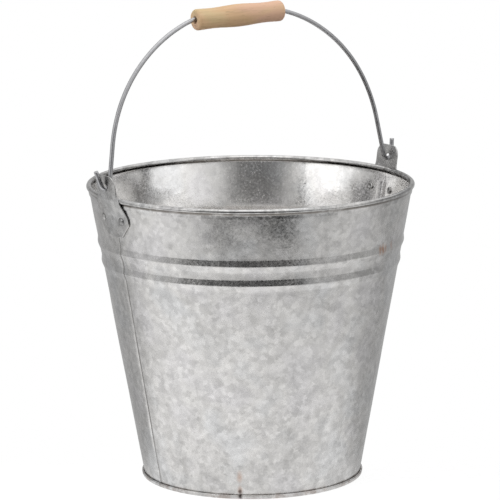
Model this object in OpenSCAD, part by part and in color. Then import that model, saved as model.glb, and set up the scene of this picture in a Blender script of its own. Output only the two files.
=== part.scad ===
// Galvanised florist bucket: two half shells locked together by side seams, a rim rolled
// over a wire, a recessed bottom held in a folded hem, two riveted ears, a wire bail and
// a turned wooden grip. Millimetres, +Z up, origin at the centre of the foot ring.
// The ears lie on the X axis, and the front faces -Y.

/* [Bucket] */
// Height from the foot ring to the top of the rolled rim
bucket_h = 273; // [250:1:290]
// Outer diameter across the rolled rim
rim_d = 300; // [290:1:306]
// Outer diameter of the wall where it meets the foot hem
base_d = 200; // [190:2:206]
// Thickness of the sheet that the shells and the bottom are made of
sheet_t = 0.6; // [0.5:0.05:0.6]

/* [Rolled rim] */
// Outer diameter of the roll
roll_d = 4.8; // [4.6:0.1:5.4]
// How far the wall stays inside the roll's outermost line
roll_stand = 2.3; // [2:0.1:2.6]
// Height of the flattened tail of the roll, below the roll
tail_h = 4.2; // [3.6:0.1:5]

/* [Pressed beads] */
// Height of the upper bead above the foot ring
upper_bead_z = 220; // [217:1:226]
// Height of the lower bead above the foot ring
lower_bead_z = 202; // [190:1:204]
// Width of a bead, measured up the wall
bead_w = 12; // [9:0.5:12]
// How far a bead stands out from the wall
bead_h = 1.2; // [0.8:0.1:1.4]

/* [Foot hem] */
// Height of the folded hem
hem_h = 3.7; // [3.5:0.1:4.5]
// Height of the bottom panel above the foot ring
recess_h = 6; // [5.5:0.5:8]

/* [Side seams] */
// Width of the folded part of each side seam
seam_w = 7.4; // [6.5:0.1:8]
// Height where the folded part ends, below the rim
seam_top_gap = 14; // [13:1:18]
// Height where the folded part starts, above the foot ring
seam_foot_gap = 10; // [9:1:14]

/* [Ears] */
// Thickness of an ear plate
ear_t = 1.2; // [1:0.1:1.4]
// Width of an ear above the rim
ear_neck_w = 33; // [31:0.5:35]
// Width of an ear at its rivets
ear_base_w = 51; // [49:0.5:53]
// Height of an ear above the rim
ear_rise = 20; // [19:0.5:21]
// How far an ear reaches below the rim
ear_drop = 37; // [36:0.5:39]
// Diameter of the hole that the bail hangs in
ear_hole_d = 6.6; // [6.2:0.1:8]

/* [Rivets] */
// Distance between the two rivets of an ear
rivet_pitch = 31; // [30:0.5:33]
// Distance of the rivets below the top of the rim
rivet_drop = 20.5; // [20:0.5:22]
// Diameter of a rivet's shank
rivet_d = 4; // [3.5:0.1:4.2]
// Diameter of a rivet's outer head
rivet_head_d = 7.4; // [7:0.1:8]

/* [Bail] */
// Diameter of the bail wire
wire_d = 4; // [3.8:0.1:4.2]
// Height of the bail's axis above the rim
pivot_rise = 7.5; // [7.5:0.1:7.8]
// Height of the straight top of the bail above its axis, at its middle
arch_h = 145.4; // [145:0.1:146]
// Slant of the straight top, which rises towards the right ear
top_slant = 1.5; // [0:0.1:1.6]
// Radius of each shoulder of the arch
shoulder_r = 133.1; // [133:0.1:133.3]
// How far each shoulder's centre lies from the middle
shoulder_x = 10.7; // [10.5:0.1:10.8]
// Height of the shoulders' centres above the bail's axis
shoulder_z = 16.6; // [16.4:0.1:16.8]
// Radius of the bend at each end of the straight top
top_bend_r = 10; // [8:0.5:11]
// Radius of the hook at the foot of each leg, at the middle of the wire
hook_r = 4.5; // [4.3:0.1:4.6]
// Outward lean of the left hook's free end
left_tip_lean = 19; // [15:1:20]
// Outward lean of the right hook's free end
right_tip_lean = 5; // [4:1:20]
// Length of the hook's free end
tip_l = 14; // [10:1:14]
// Lean of the whole bail towards the back
bail_lean = 5.4; // [0:0.1:8]

/* [Grip] */
// Length of the wooden grip
grip_l = 92; // [84:1:93]
// Diameter of the grip at its ends
grip_end_d = 19.2; // [18.6:0.1:19.6]
// Diameter of the grip at its two waists
grip_waist_d = 18.4; // [17.6:0.1:18.6]
// Diameter of the grip at its middle
grip_mid_d = 20.6; // [19.6:0.1:20.6]
// Diameter of the hole through the grip
grip_bore_d = 6.6; // [6.4:0.1:7]
// How far the grip has slid along the wire, towards the left ear
grip_slide = 3.5; // [0:0.5:4]

/* [Hidden] */
$fn = 96;

// Colours
zinc_outside = [0.72, 0.72, 0.71];
zinc_inside = [0.66, 0.67, 0.68];
zinc_ear = [0.62, 0.62, 0.62];
steel_wire = [0.55, 0.56, 0.58];
pale_wood = [0.82, 0.66, 0.44];

// The gap left between two sheets that press on each other
fit_gap = 0.1;
// The degrees that one step of a rounded outline turns through
arc_step = 15;

// Wall: a straight cone between the hem and the rim, described by its middle surface
roll_r = roll_d / 2;
roll_z = bucket_h - roll_r;
roll_centre = [rim_d / 2 - roll_r, roll_z];
wall_foot_z = 3;
wall_foot_r = base_d / 2 - sheet_t / 2 + 0.2;
wall_top_z = roll_z - roll_r;
wall_top_r = rim_d / 2 - roll_stand - sheet_t / 2;
wall_slope = (wall_top_r - wall_foot_r) / (wall_top_z - wall_foot_z);
wall_lean = atan(wall_slope);
bead_steps = 12;

// A bead's section is a triangle with a rounded crest and rounded feet; s runs from 0 to 1
function bead_share(s) = s < 0.2 ? 1 - s * s / 0.32 : s < 0.8 ? 1.125 - 1.25 * s : pow(1 - s, 2) / 0.32;
function bead_bulge(z, middle) =
    abs(z - middle) < bead_w / 2 ? bead_h * bead_share(abs(z - middle) / bead_w * 2) : 0;
function straight_r(z) = wall_foot_r + wall_slope * (z - wall_foot_z);
function wall_r(z) = straight_r(z) + bead_bulge(z, upper_bead_z) + bead_bulge(z, lower_bead_z);
function bead_heights(middle) =
    [for (i = [0 : bead_steps]) middle + bead_w * (i / bead_steps - 0.5)];
function wall_heights(low, high) =
    concat([low], bead_heights(lower_bead_z), bead_heights(upper_bead_z), [high]);
function wall_path(low, high) = [for (z = wall_heights(low, high)) [wall_r(z), z]];

// Outlines of bent sheet: a path along the middle of the sheet is given its thickness
function unit(v) = v / norm(v);
function left_of(a, b) = let (d = unit(b - a)) [-d[1], d[0]];
function before(p, i) = left_of(p[max(i, 1) - 1], p[max(i, 1)]);
function after(p, i) = left_of(p[min(i, len(p) - 2)], p[min(i, len(p) - 2) + 1]);
function beside(p, i, d) = let (m = unit(before(p, i) + after(p, i))) p[i] + m * d / (m * after(p, i));
function sheet_outline(p, t) = concat(
    [for (i = [0 : len(p) - 1]) beside(p, i, t / 2)],
    [for (i = [len(p) - 1 : -1 : 0]) beside(p, i, -t / 2)]);
function arc(centre, r, from, to) = let (n = max(1, ceil(abs(to - from) / arc_step)))
    [for (i = [0 : n]) let (a = from + (to - from) * i / n) centre + r * [cos(a), sin(a)]];
function reversed(p) = [for (i = [len(p) - 1 : -1 : 0]) p[i]];

// A corner of an outline, rounded with radius r
function rounded_corner(a, b, c, r) = let (
    u = unit(a - b), w = unit(c - b), half = acos(u * w) / 2,
    centre = b + unit(u + w) * r / sin(half),
    from = b + u * r / tan(half) - centre, to = b + w * r / tan(half) - centre,
    a0 = atan2(from[1], from[0]), turn = atan2(to[1], to[0]) - a0,
    a1 = a0 + (turn > 180 ? turn - 360 : turn < -180 ? turn + 360 : turn))
    arc(centre, r, a0, a1);
function rounded(p, r) = [for (i = [0 : len(p) - 1])
    each rounded_corner(p[(i + len(p) - 1) % len(p)], p[i], p[(i + 1) % len(p)], r[i])];

// Hem: four layers side by side, the wall (0), the bottom's tail (1), the wall's flange (2)
// and the bottom's outer fold (3), all parallel to the wall
hem_pitch = sheet_t + fit_gap + 0.01;
hem_turn_r = hem_pitch;
hem_low_z = sheet_t + fit_gap + sheet_t / 2 + hem_turn_r;
hem_top_z = hem_h - sheet_t / 2 - hem_turn_r;
flange_top_z = hem_top_z - 0.1;
tail_low_z = hem_low_z + 0.3;
function hem_r(layer, z) = straight_r(z) + layer * hem_pitch;

shell_foot = concat(
    [[hem_r(2, flange_top_z), flange_top_z]],
    arc([hem_r(1, hem_low_z), hem_low_z], hem_turn_r, 0, -180));

// Rim: a near full roll that leaves the wall at its neck, and a tail pressed on the wall's outside
rim_tail_low_z = roll_z - roll_r - tail_h;
tail_gap = sheet_t + fit_gap + 0.01;
neck_z = roll_z - roll_r - 0.9;
curl_r = roll_r - sheet_t / 2;
curl_start = 248;
curl_end = -66;
shell_top = concat(
    arc(roll_centre, curl_r, curl_start, curl_end),
    [[straight_r(neck_z) + tail_gap, neck_z],
     [straight_r(rim_tail_low_z) + tail_gap, rim_tail_low_z]]);

shell_path = concat(shell_foot, wall_path(hem_low_z + 2, neck_z), shell_top);

// Side seams: the layers count inwards from the wall, 0 to 3
seam_pitch = 0.75;
seam_r = (wall_foot_r + wall_top_r) / 2;
seam_half = seam_w / 2 / seam_r * 180 / PI;
fold_a = 0.28;
slit_a = 0.12;
seam_low_z = seam_foot_gap;
seam_high_z = bucket_h - seam_top_gap;
function seam_layer(layer) =
    [for (p = wall_path(seam_low_z, seam_high_z)) p - [layer * seam_pitch, 0]];
function seam_fold(outer, inner) = concat(seam_layer(outer), reversed(seam_layer(inner)));

// A sector of a turned outline, from one bearing to another
module sector(outline, from, to) {
    rotate_extrude(angle = to - from, start = from) polygon(outline);
}

module sheet_sector(path, from, to) {
    sector(sheet_outline(path, sheet_t), from, to);
}

// One side's part of the front shell's fold: it passes under the back shell's edge
module front_hook() {
    sector(seam_fold(0, 3), -seam_half - slit_a - fold_a, -seam_half - slit_a);
    sheet_sector(seam_layer(3), -seam_half - slit_a - fold_a / 2, seam_half + fold_a / 2);
    sector(seam_fold(1, 3), seam_half, seam_half + fold_a);
    sheet_sector(seam_layer(1), -seam_half + fold_a + slit_a, seam_half + fold_a / 2);
}

// One side's part of the back shell's fold: its tail lies inside the front shell's fold
module back_hook() {
    sector(seam_fold(0, 2), -seam_half, -seam_half + fold_a);
    sheet_sector(seam_layer(2), -seam_half + fold_a / 2, seam_half - slit_a);
}

// Rivets: two at each ear, square to the wall
rivet_z = bucket_h - rivet_drop;
rivet_a = asin(rivet_pitch / 2 / straight_r(rivet_z));
head_seat = sheet_t / 2 + 2 * fit_gap + ear_t;
tail_seat = sheet_t / 2 + 1.5 * fit_gap;
head_h = 1.5;
rivet_tail_h = 1.2;
rivet_tail_d = 6.4;
dimple_d = 3;
dimple_depth = 0.9;

module at_rivet(bearing) {
    rotate([0, 0, bearing]) translate([straight_r(rivet_z), 0, rivet_z])
        rotate([0, 90 + wall_lean, 0]) children();
}

module rivet_hole(bearing) {
    at_rivet(bearing) cylinder(d = rivet_d + 2 * fit_gap, h = 12, center = true);
}

// The head is a low dome, cut from a ball; the tail is spread flat and left hollow
module rivet(bearing) {
    ball_r = (pow(rivet_head_d / 2, 2) + head_h * head_h) / 2 / head_h;
    at_rivet(bearing) difference() {
        union() {
            translate([0, 0, -tail_seat - rivet_tail_h / 2])
                cylinder(d = rivet_d, h = tail_seat + head_seat + rivet_tail_h / 2 + head_h / 2);
            intersection() {
                translate([0, 0, head_seat + head_h - ball_r]) sphere(r = ball_r);
                translate([0, 0, head_seat]) cylinder(d = rivet_head_d + 1, h = head_h + 1);
            }
            translate([0, 0, -tail_seat - rivet_tail_h]) cylinder(d = rivet_tail_d, h = rivet_tail_h);
        }
        translate([0, 0, -tail_seat - rivet_tail_h - 1]) cylinder(d = dimple_d, h = dimple_depth + 1);
    }
}

module front_shell() {
    edge = seam_half + slit_a;
    color(zinc_outside) difference() {
        union() {
            sheet_sector(shell_path, -180 + edge, -edge);
            front_hook();
            mirror([1, 0, 0]) front_hook();
        }
        rivet_hole(-rivet_a);
        rivet_hole(180 + rivet_a);
    }
}

module back_shell() {
    color(zinc_outside) difference() {
        union() {
            sheet_sector(shell_path, -seam_half, 180 + seam_half);
            back_hook();
            mirror([1, 0, 0]) back_hook();
        }
        rivet_hole(rivet_a);
        rivet_hole(180 - rivet_a);
    }
}

// Bottom: a raised panel, a skirt inside the wall, and the folds that grip the wall's flange
skirt_gap = sheet_t + fit_gap + 0.05;
foot_z = sheet_t / 2;
panel_round = 2;
foot_round = 0.8;
panel_z = recess_h + sheet_t / 2;
function skirt_r(z) = straight_r(z) - skirt_gap;

// Each round touches the skirt or the outer fold where its own edge is parallel to the wall
panel_turn_z = panel_z - panel_round;
foot_turn_z = foot_z + foot_round;
panel_touch_z = panel_turn_z - panel_round * sin(wall_lean);
skirt_touch_z = foot_turn_z + foot_round * sin(wall_lean);
fold_touch_z = foot_turn_z - foot_round * sin(wall_lean);
bottom_path = concat(
    [[0, panel_z]],
    arc([skirt_r(panel_touch_z) - panel_round * cos(wall_lean), panel_turn_z], panel_round, 90, -wall_lean),
    arc([skirt_r(skirt_touch_z) + foot_round * cos(wall_lean), foot_turn_z],
        foot_round, 180 - wall_lean, 270),
    arc([hem_r(3, fold_touch_z) - foot_round * cos(wall_lean), foot_turn_z],
        foot_round, 270, 360 - wall_lean),
    arc([hem_r(2, hem_top_z), hem_top_z], hem_turn_r, 0, 180),
    [[hem_r(1, tail_low_z), tail_low_z]]);

module bottom_disc() {
    color(zinc_inside) rotate_extrude() intersection() {
        polygon(sheet_outline(bottom_path, sheet_t));
        translate([0, -1]) square([rim_d, bucket_h]);
    }
}

module rim_wire() {
    color(steel_wire) rotate_extrude()
        translate(roll_centre) circle(r = roll_r - sheet_t - fit_gap);
}

// Ears: a plate that follows the wall up to the rivets, touches the roll and rises past it
ear_low_z = bucket_h - ear_drop;
ear_bend_z = rivet_z + 3.5;
ear_top_z = bucket_h + ear_rise;
ear_gap = sheet_t / 2 + fit_gap + ear_t / 2 + 0.01;
ear_roll_r = rim_d / 2 + fit_gap + ear_t / 2;
ear_flare = 0.138;
pivot_z = bucket_h + pivot_rise;
pivot_x = ear_roll_r + ear_flare * (pivot_z - roll_z);
ear_path = [
    [straight_r(ear_low_z - 1) + ear_gap, ear_low_z - 1],
    [straight_r(ear_bend_z) + ear_gap, ear_bend_z],
    [ear_roll_r, roll_z],
    [ear_roll_r + ear_flare * (ear_top_z + 1 - roll_z), ear_top_z + 1]];
ear_span = 12;
hole_gap = 0.3;
ear_hole_z = pivot_z - wire_d / 2 - hole_gap + ear_hole_d / 2;

// Half of the ear's outline, seen square on, from its foot up to its top
ear_half = [
    [ear_base_w / 2 - 14, ear_low_z],
    [ear_base_w / 2, rivet_z - 3],
    [ear_base_w / 2, rivet_z + 2.5],
    [ear_neck_w / 2, bucket_h + 1],
    [ear_neck_w / 2, ear_top_z]];
ear_half_r = [9, 4, 4, 14, 9];
ear_outline = rounded(
    concat(ear_half, [for (p = reversed(ear_half)) [-p[0], p[1]]]),
    concat(ear_half_r, reversed(ear_half_r)));

module ear() {
    difference() {
        intersection() {
            sector(sheet_outline(ear_path, ear_t), -ear_span, ear_span);
            rotate([90, 0, 90]) linear_extrude(height = rim_d) polygon(ear_outline);
        }
        translate([rim_d / 2 - 20, 0, ear_hole_z]) rotate([0, 90, 0]) cylinder(d = ear_hole_d, h = 40);
        rivet_hole(rivet_a);
        rivet_hole(-rivet_a);
    }
}

module right_ear() {
    color(zinc_ear) ear();
}

module left_ear() {
    color(zinc_ear) mirror([1, 0, 0]) ear();
}

module rivet_right_front() {
    color(zinc_ear) rivet(-rivet_a);
}

module rivet_right_back() {
    color(zinc_ear) rivet(rivet_a);
}

module rivet_left_front() {
    color(zinc_ear) mirror([1, 0, 0]) rivet(-rivet_a);
}

module rivet_left_back() {
    color(zinc_ear) mirror([1, 0, 0]) rivet(rivet_a);
}

// Bail: drawn in its own plane, x across and z up from the axis through both ears
wire_r = wire_d / 2;
shoulder_centre = [shoulder_x, shoulder_z];
// The bend at each end of the straight top touches both the top and the shoulder
function bend_way(slant) = let (
    way = [cos(slant), sin(slant)],
    from = [0, arch_h] + top_bend_r * [sin(slant), -cos(slant)] - shoulder_centre,
    along = from * way)
    from + way * (sqrt(pow(along, 2) - from * from + pow(shoulder_r - top_bend_r, 2)) - along);
hook_centre = [pivot_x, hook_r];
// The leg is the line that touches both the shoulder and the hook, one from each side
hook_way = hook_centre - shoulder_centre;
leg_lean = atan2(hook_way[1], hook_way[0]) + acos((shoulder_r + hook_r) / norm(hook_way));
leg_start = shoulder_centre + shoulder_r * [cos(leg_lean), sin(leg_lean)];
leg_end = hook_centre - hook_r * [cos(leg_lean), sin(leg_lean)];

module wire_bend(centre, r, from, to) {
    translate([centre[0], 0, centre[1]]) rotate([90, 0, 0])
        rotate_extrude(angle = to - from, start = from) translate([r, 0]) circle(r = wire_r);
}

// A straight run is a hair thinner than the bends, and its ends reach a little into them
run_ease = 0.01;
run_lap = 0.1;

module wire_run(from, to, lap_end = run_lap) {
    run = to - from;
    translate([from[0], 0, from[1]]) rotate([0, atan2(run[0], run[1]), 0])
        translate([0, 0, -run_lap]) cylinder(r = wire_r - run_ease, h = norm(run) + run_lap + lap_end);
}

// A very short run joins the two bends of each shoulder
joint_half = 0.1;
function degrees_of(length, r) = length / r * 180 / PI;

module bail_half(slant, tip_lean) {
    way = bend_way(slant);
    bend_a = atan2(way[1], way[0]);
    bend_centre = shoulder_centre + way;
    bend_joint = shoulder_centre + shoulder_r * [cos(bend_a), sin(bend_a)];
    joint_way = joint_half * [sin(bend_a), -cos(bend_a)];
    wire_run([0, arch_h], bend_centre + top_bend_r * [-sin(slant), cos(slant)]);
    wire_bend(bend_centre, top_bend_r, bend_a + degrees_of(joint_half, top_bend_r), 90 + slant);
    wire_run(bend_joint - joint_way, bend_joint + joint_way);
    wire_bend(shoulder_centre, shoulder_r, leg_lean, bend_a - degrees_of(joint_half, shoulder_r));
    wire_run(leg_start, leg_end);
    wire_bend(hook_centre, hook_r, 180 + leg_lean, 360 - tip_lean);
    tip_start = hook_centre + hook_r * [cos(tip_lean), -sin(tip_lean)];
    wire_run(tip_start, tip_start + tip_l * [sin(tip_lean), cos(tip_lean)], 0);
}

module at_bail() {
    translate([0, 0, pivot_z]) rotate([-bail_lean, 0, 0]) children();
}

module bail_wire() {
    color(steel_wire) at_bail() {
        bail_half(top_slant, right_tip_lean);
        mirror([1, 0, 0]) bail_half(-top_slant, left_tip_lean);
    }
}

// Grip: turned wood with a swollen middle, two waists and rounded ends; it hangs on the wire
grip_hang = 1;
grip_steps = 40;
waist_x = grip_l * 0.31;
end_round = 2.6;
function grip_r(x) = let (s = abs(x)) s < waist_x
    ? grip_waist_d / 2 + (grip_mid_d - grip_waist_d) / 4 * (1 + cos(180 * s / waist_x))
    : grip_waist_d / 2 + (grip_end_d - grip_waist_d) / 4
        * (1 - cos(180 * min(1, (s - waist_x) / (grip_l / 2 - end_round - waist_x))));
grip_side = [for (i = [0 : grip_steps]) let (x = (grip_l - 2 * end_round) * (i / grip_steps - 0.5))
    [grip_r(x), x]];
grip_outline = concat(
    [[0, -grip_l / 2]],
    arc([grip_end_d / 2 - end_round, end_round - grip_l / 2], end_round, -90, -15),
    grip_side,
    arc([grip_end_d / 2 - end_round, grip_l / 2 - end_round], end_round, 15, 90),
    [[0, grip_l / 2]]);

module wooden_grip() {
    color(pale_wood) at_bail() translate([0, 0, arch_h]) rotate([0, -top_slant, 0])
        translate([-grip_slide, 0, -grip_hang]) rotate([0, 90, 0]) difference() {
        rotate_extrude() polygon(grip_outline);
        cylinder(d = grip_bore_d, h = grip_l + 2, center = true);
    }
}

front_shell();
back_shell();
bottom_disc();
rim_wire();
left_ear();
right_ear();
rivet_left_front();
rivet_left_back();
rivet_right_front();
rivet_right_back();
bail_wire();
wooden_grip();
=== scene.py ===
"""Looks of the galvanised florist bucket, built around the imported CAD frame.

Outlines are drawn in millimetres with the CAD's own sizes, and are scaled to metres when a mesh
is made. +Z is up, the ears lie on the X axis and the front faces -Y.
"""
import math
import random

import bpy
import numpy as np
from mathutils import Matrix, Vector


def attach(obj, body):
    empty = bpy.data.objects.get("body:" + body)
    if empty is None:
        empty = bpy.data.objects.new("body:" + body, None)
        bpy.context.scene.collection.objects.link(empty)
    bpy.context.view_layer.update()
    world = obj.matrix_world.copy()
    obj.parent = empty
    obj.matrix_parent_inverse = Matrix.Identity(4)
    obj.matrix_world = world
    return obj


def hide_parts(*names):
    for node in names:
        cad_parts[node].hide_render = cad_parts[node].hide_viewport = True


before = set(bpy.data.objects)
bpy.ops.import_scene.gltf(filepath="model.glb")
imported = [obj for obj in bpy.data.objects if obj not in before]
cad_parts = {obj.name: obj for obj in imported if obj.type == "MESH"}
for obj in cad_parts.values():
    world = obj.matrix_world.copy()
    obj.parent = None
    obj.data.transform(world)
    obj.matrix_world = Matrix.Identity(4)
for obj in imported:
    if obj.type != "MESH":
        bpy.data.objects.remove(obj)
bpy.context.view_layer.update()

MM = 0.001
DEG = math.pi / 180

# ---- sizes, as in the CAD source
BUCKET_H, RIM_D, BASE_D, SHEET_T, FIT_GAP = 273.0, 300.0, 200.0, 0.6, 0.1
ROLL_R, ROLL_STAND, TAIL_H = 2.4, 2.3, 4.2
BEAD_HEIGHTS, BEAD_W, BEAD_H = (202.0, 220.0), 12.0, 1.2
HEM_H, RECESS_H = 3.7, 6.0
SEAM_W, SEAM_LOW_Z, SEAM_HIGH_Z, SEAM_PITCH = 7.4, 10.0, 259.0, 0.75
EAR_T, EAR_HOLE_D = 1.2, 6.6
RIVET_PITCH, RIVET_D, RIVET_HEAD_D, RIVET_HEAD_H = 31.0, 4.0, 7.4, 1.5
RIVET_TAIL_D, RIVET_TAIL_H = 6.4, 1.2
WIRE_R, ARCH_H, TOP_SLANT, BAIL_LEAN = 2.0, 145.4, 1.5, 5.4
SHOULDER, SHOULDER_R, TOP_BEND_R = (10.7, 16.6), 133.1, 10.0
HOOK_R, LEFT_TIP_LEAN, RIGHT_TIP_LEAN, TIP_L = 4.5, 19.0, 5.0, 14.0
GRIP_L, GRIP_END_D, GRIP_WAIST_D, GRIP_MID_D, GRIP_BORE_D = 92.0, 19.2, 18.4, 20.6, 6.6
GRIP_ROUND, GRIP_HANG, GRIP_SLIDE = 2.6, 1.0, 3.5

ROLL_Z = BUCKET_H - ROLL_R
ROLL_C = (RIM_D / 2 - ROLL_R, ROLL_Z)
FOOT_Z, FOOT_R = 3.0, BASE_D / 2 - SHEET_T / 2 + 0.2
TOP_Z, TOP_R = ROLL_Z - ROLL_R, RIM_D / 2 - ROLL_STAND - SHEET_T / 2
SLOPE = (TOP_R - FOOT_R) / (TOP_Z - FOOT_Z)
WALL_LEAN = math.degrees(math.atan(SLOPE))
PIVOT_Z = BUCKET_H + 7.5
RIVET_Z = BUCKET_H - 20.5
EAR_LOW_Z, EAR_BEND_Z, EAR_TOP_Z = BUCKET_H - 37.0, RIVET_Z + 3.5, BUCKET_H + 20.0
EAR_GAP = SHEET_T / 2 + FIT_GAP + EAR_T / 2 + 0.01
EAR_ROLL_R = RIM_D / 2 + FIT_GAP + EAR_T / 2
EAR_FLARE = 0.138
PIVOT_X = EAR_ROLL_R + EAR_FLARE * (PIVOT_Z - ROLL_Z)
EAR_HOLE_Z = PIVOT_Z - WIRE_R - 0.3 + EAR_HOLE_D / 2


def straight_r(z):
    """The cone's radius, at the middle of the sheet."""
    return FOOT_R + SLOPE * (z - FOOT_Z)


def bead_bulge(z):
    """How far the beads stand off the cone: a round top and two round feet, straight between."""
    total = np.zeros_like(np.asarray(z, float))
    top, foot, curve, start, slope = 0.2, 0.8, 0.32, 1.125, 1.25
    for middle in BEAD_HEIGHTS:
        s = np.abs(z - middle) / BEAD_W * 2
        flank_or_foot = np.where(s < foot, start - slope * s, (1 - s) ** 2 / curve)
        share = np.where(s < top, 1 - s * s / curve, flank_or_foot)
        total = total + np.where(s < 1, BEAD_H * share, 0)
    return total


def smooth(a, b, x):
    """0 below a, 1 above b, and a smooth rise between them."""
    t = np.clip((np.asarray(x, float) - a) / (b - a), 0, 1)
    return t * t * (3 - 2 * t)


def full_turn(count):
    """Evenly spaced bearings round a circle, in radians."""
    return np.linspace(0, 2 * np.pi, count, endpoint=False)


def turned_away(theta, bearing):
    """The turn from a bearing to theta, in radians, the shorter way."""
    return (theta - bearing + np.pi) % (2 * np.pi) - np.pi


# ---- sheet that was bent by hand tools
rng = np.random.default_rng(41)


def wave_set(count, around, up):
    """Random soft waves: (turns round the bucket, cycles per mm of height, phase, share)."""
    return [(int(rng.integers(*around)), rng.uniform(*up), rng.uniform(0, 2 * np.pi),
             rng.uniform(0.5, 1.0)) for _ in range(count)]


def waves(kinds, theta, z):
    """The waves' sum, between -1 and 1."""
    total = sum(a * np.sin(m * theta + 2 * np.pi * k * z + p) for m, k, p, a in kinds)
    return total / sum(a for *_, a in kinds)


WALL_WAVES = wave_set(9, (3, 17), (-0.012, 0.012))
FINE_WAVES = wave_set(10, (14, 46), (-0.03, 0.03))
RIM_WAVES = wave_set(9, (9, 60), (0, 0.0001))
HEM_WAVES = wave_set(9, (8, 70), (0, 0.0001))
SOFT_WAVE, FINE_WAVE, EDGE_WAVE = 0.36, 0.07, 0.1
# Waves of the bottom panel: turns round it, height in mm, phase
PANEL_WAVES = [(2, 0.22, 0.4), (3, 0.15, 2.0), (5, 0.1, 4.1)]
# Small dents: bearing in degrees, height, radius and depth in mm
DENTS = [(-101, 96, 13, 0.35), (-62, 60, 9, 0.25), (-135, 150, 16, 0.4), (-158, 118, 12, 0.3),
         (-78, 168, 15, 0.3), (35, 80, 14, 0.35), (78, 140, 18, 0.4), (121, 50, 11, 0.3),
         (150, 175, 13, 0.35), (-30, 130, 15, 0.35)]
# The pinch in the hem: bearing, then half width, depth and distance from the axis in mm
PINCH_A, PINCH_W, PINCH_DEPTH, PINCH_R = -129.2 * DEG, 1.3, 0.75, 102
# Each half shell stays flat for this many mm beside a seam, and the ridge there is sharpened
SEAM_FLAT, RIDGE_GAIN = 8.5, 1.25


def side_distance(theta):
    """Degrees from the nearer ear's bearing."""
    return np.abs((np.degrees(theta) + 90) % 180 - 90)


def wall_give(theta, z):
    """How far the wall stands off its true cone, outwards, in mm."""
    side = side_distance(theta)
    free = smooth(9, 30, z) * (1 - smooth(246, 258, z))
    under_ear = smooth(224, 232, z) * (1 - smooth(12, 17, side))
    soft = SOFT_WAVE * waves(WALL_WAVES, theta, z) + FINE_WAVE * waves(FINE_WAVES, theta, z)
    give = soft * free * (1 - under_ear)
    for bearing, height, radius, depth in DENTS:
        arm = turned_away(theta, bearing * DEG) * straight_r(height)
        away = arm ** 2 + (z - height) ** 2
        give = give - depth * np.exp(-away / (2 * (radius / 2) ** 2))
    # the ends of each half stay flatter than the rest, so the halves meet at a blunt ridge
    arm = side * DEG * straight_r(z)
    ridge = np.clip(SEAM_FLAT - arm, 0, None) ** 2 / (2 * straight_r(z))
    ridge = ridge * smooth(8, 22, z) * (1 - smooth(214, 231, z))
    return give + RIDGE_GAIN * ridge


def rim_give(theta, z):
    """Unevenness of the roll and of its pressed tail."""
    return EDGE_WAVE * waves(RIM_WAVES, theta, z) * smooth(261, 264, z)


def hem_give(theta, r, z):
    """Unevenness of the hem's folds, and the pinch where its two ends meet."""
    low = 1 - smooth(HEM_H + 0.3, HEM_H + 4, z)
    outer = smooth(100.4, 101.2, r)
    pinch = np.exp(-((turned_away(theta, PINCH_A) * PINCH_R / PINCH_W) ** 2))
    return (EDGE_WAVE * waves(HEM_WAVES, theta, z) - PINCH_DEPTH * pinch) * low * outer


# ---- outlines
def arc(centre, r, start, end, step=7.0):
    """Points on an arc between two angles, no more than step degrees apart."""
    n = max(2, math.ceil(abs(end - start) / step))
    a = np.radians(np.linspace(start, end, n + 1))
    return [(centre[0] + r * math.cos(t), centre[1] + r * math.sin(t)) for t in a]


def both_sides(path, t):
    """The two sides of a bent sheet, t/2 to the left and to the right of its middle line."""
    p = np.array(path, float)
    d = np.diff(p, axis=0)
    d /= np.linalg.norm(d, axis=1)[:, None]
    left = np.stack([-d[:, 1], d[:, 0]], 1)
    before, after = np.vstack([left[:1], left]), np.vstack([left, left[-1:]])
    m = before + after
    m /= np.linalg.norm(m, axis=1)[:, None]
    m = m / np.sum(m * after, axis=1)[:, None]
    return p + m * t / 2, p - m * t / 2


def eased(path, cut=0.5, points=3):
    """The path with its corners cut back into short curves."""
    p = [np.array(q, float) for q in path]
    out = [p[0]]
    for a, b, c in zip(p, p[1:], p[2:]):
        u, w = a - b, c - b
        u_length, w_length = np.linalg.norm(u), np.linalg.norm(w)
        bend = math.degrees(math.acos(np.clip(-u @ w / u_length / w_length, -1, 1)))
        if bend < 9:
            out.append(b)
            continue
        reach = min(cut, u_length * 0.45, w_length * 0.45)
        s, e = b + u / u_length * reach, b + w / w_length * reach
        out += [(1 - t) ** 2 * s + 2 * t * (1 - t) * b + t * t * e
                for t in np.linspace(0, 1, points)]
    return out + [p[-1]]


# ---- meshes
def add_mesh(name, verts, faces, materials, body, nodes, picks=None, sharp=38):
    """A smooth mesh, given in mm, that rides on a body and stands for CAD nodes.

    picks has each face's material number, and an edge bent more than sharp degrees stays hard.
    """
    mesh = bpy.data.meshes.new(name)
    points = [tuple(v) for v in np.asarray(verts, float) * MM]
    mesh.from_pydata(points, [], [tuple(f) for f in faces])
    mesh.validate()
    for m in materials:
        mesh.materials.append(m)
    if picks is not None:
        mesh.polygons.foreach_set("material_index", np.asarray(picks, np.int32))
    mesh.shade_smooth()
    mesh.set_sharp_from_angle(angle=sharp * DEG)
    mesh.update()
    obj = bpy.data.objects.new(name, mesh)
    bpy.context.scene.collection.objects.link(obj)
    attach(obj, body)
    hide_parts(*nodes)


def grid_faces(rows, cols, close_rows, close_cols, first=0):
    """Quads between rows of points; row i and column j is point first + i * cols + j."""
    faces = []
    for i in range(rows if close_rows else rows - 1):
        for j in range(cols if close_cols else cols - 1):
            a, b = i * cols, (i + 1) % rows * cols
            k = (j + 1) % cols
            faces.append((first + a + j, first + b + j, first + b + k, first + a + k))
    return faces


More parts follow.
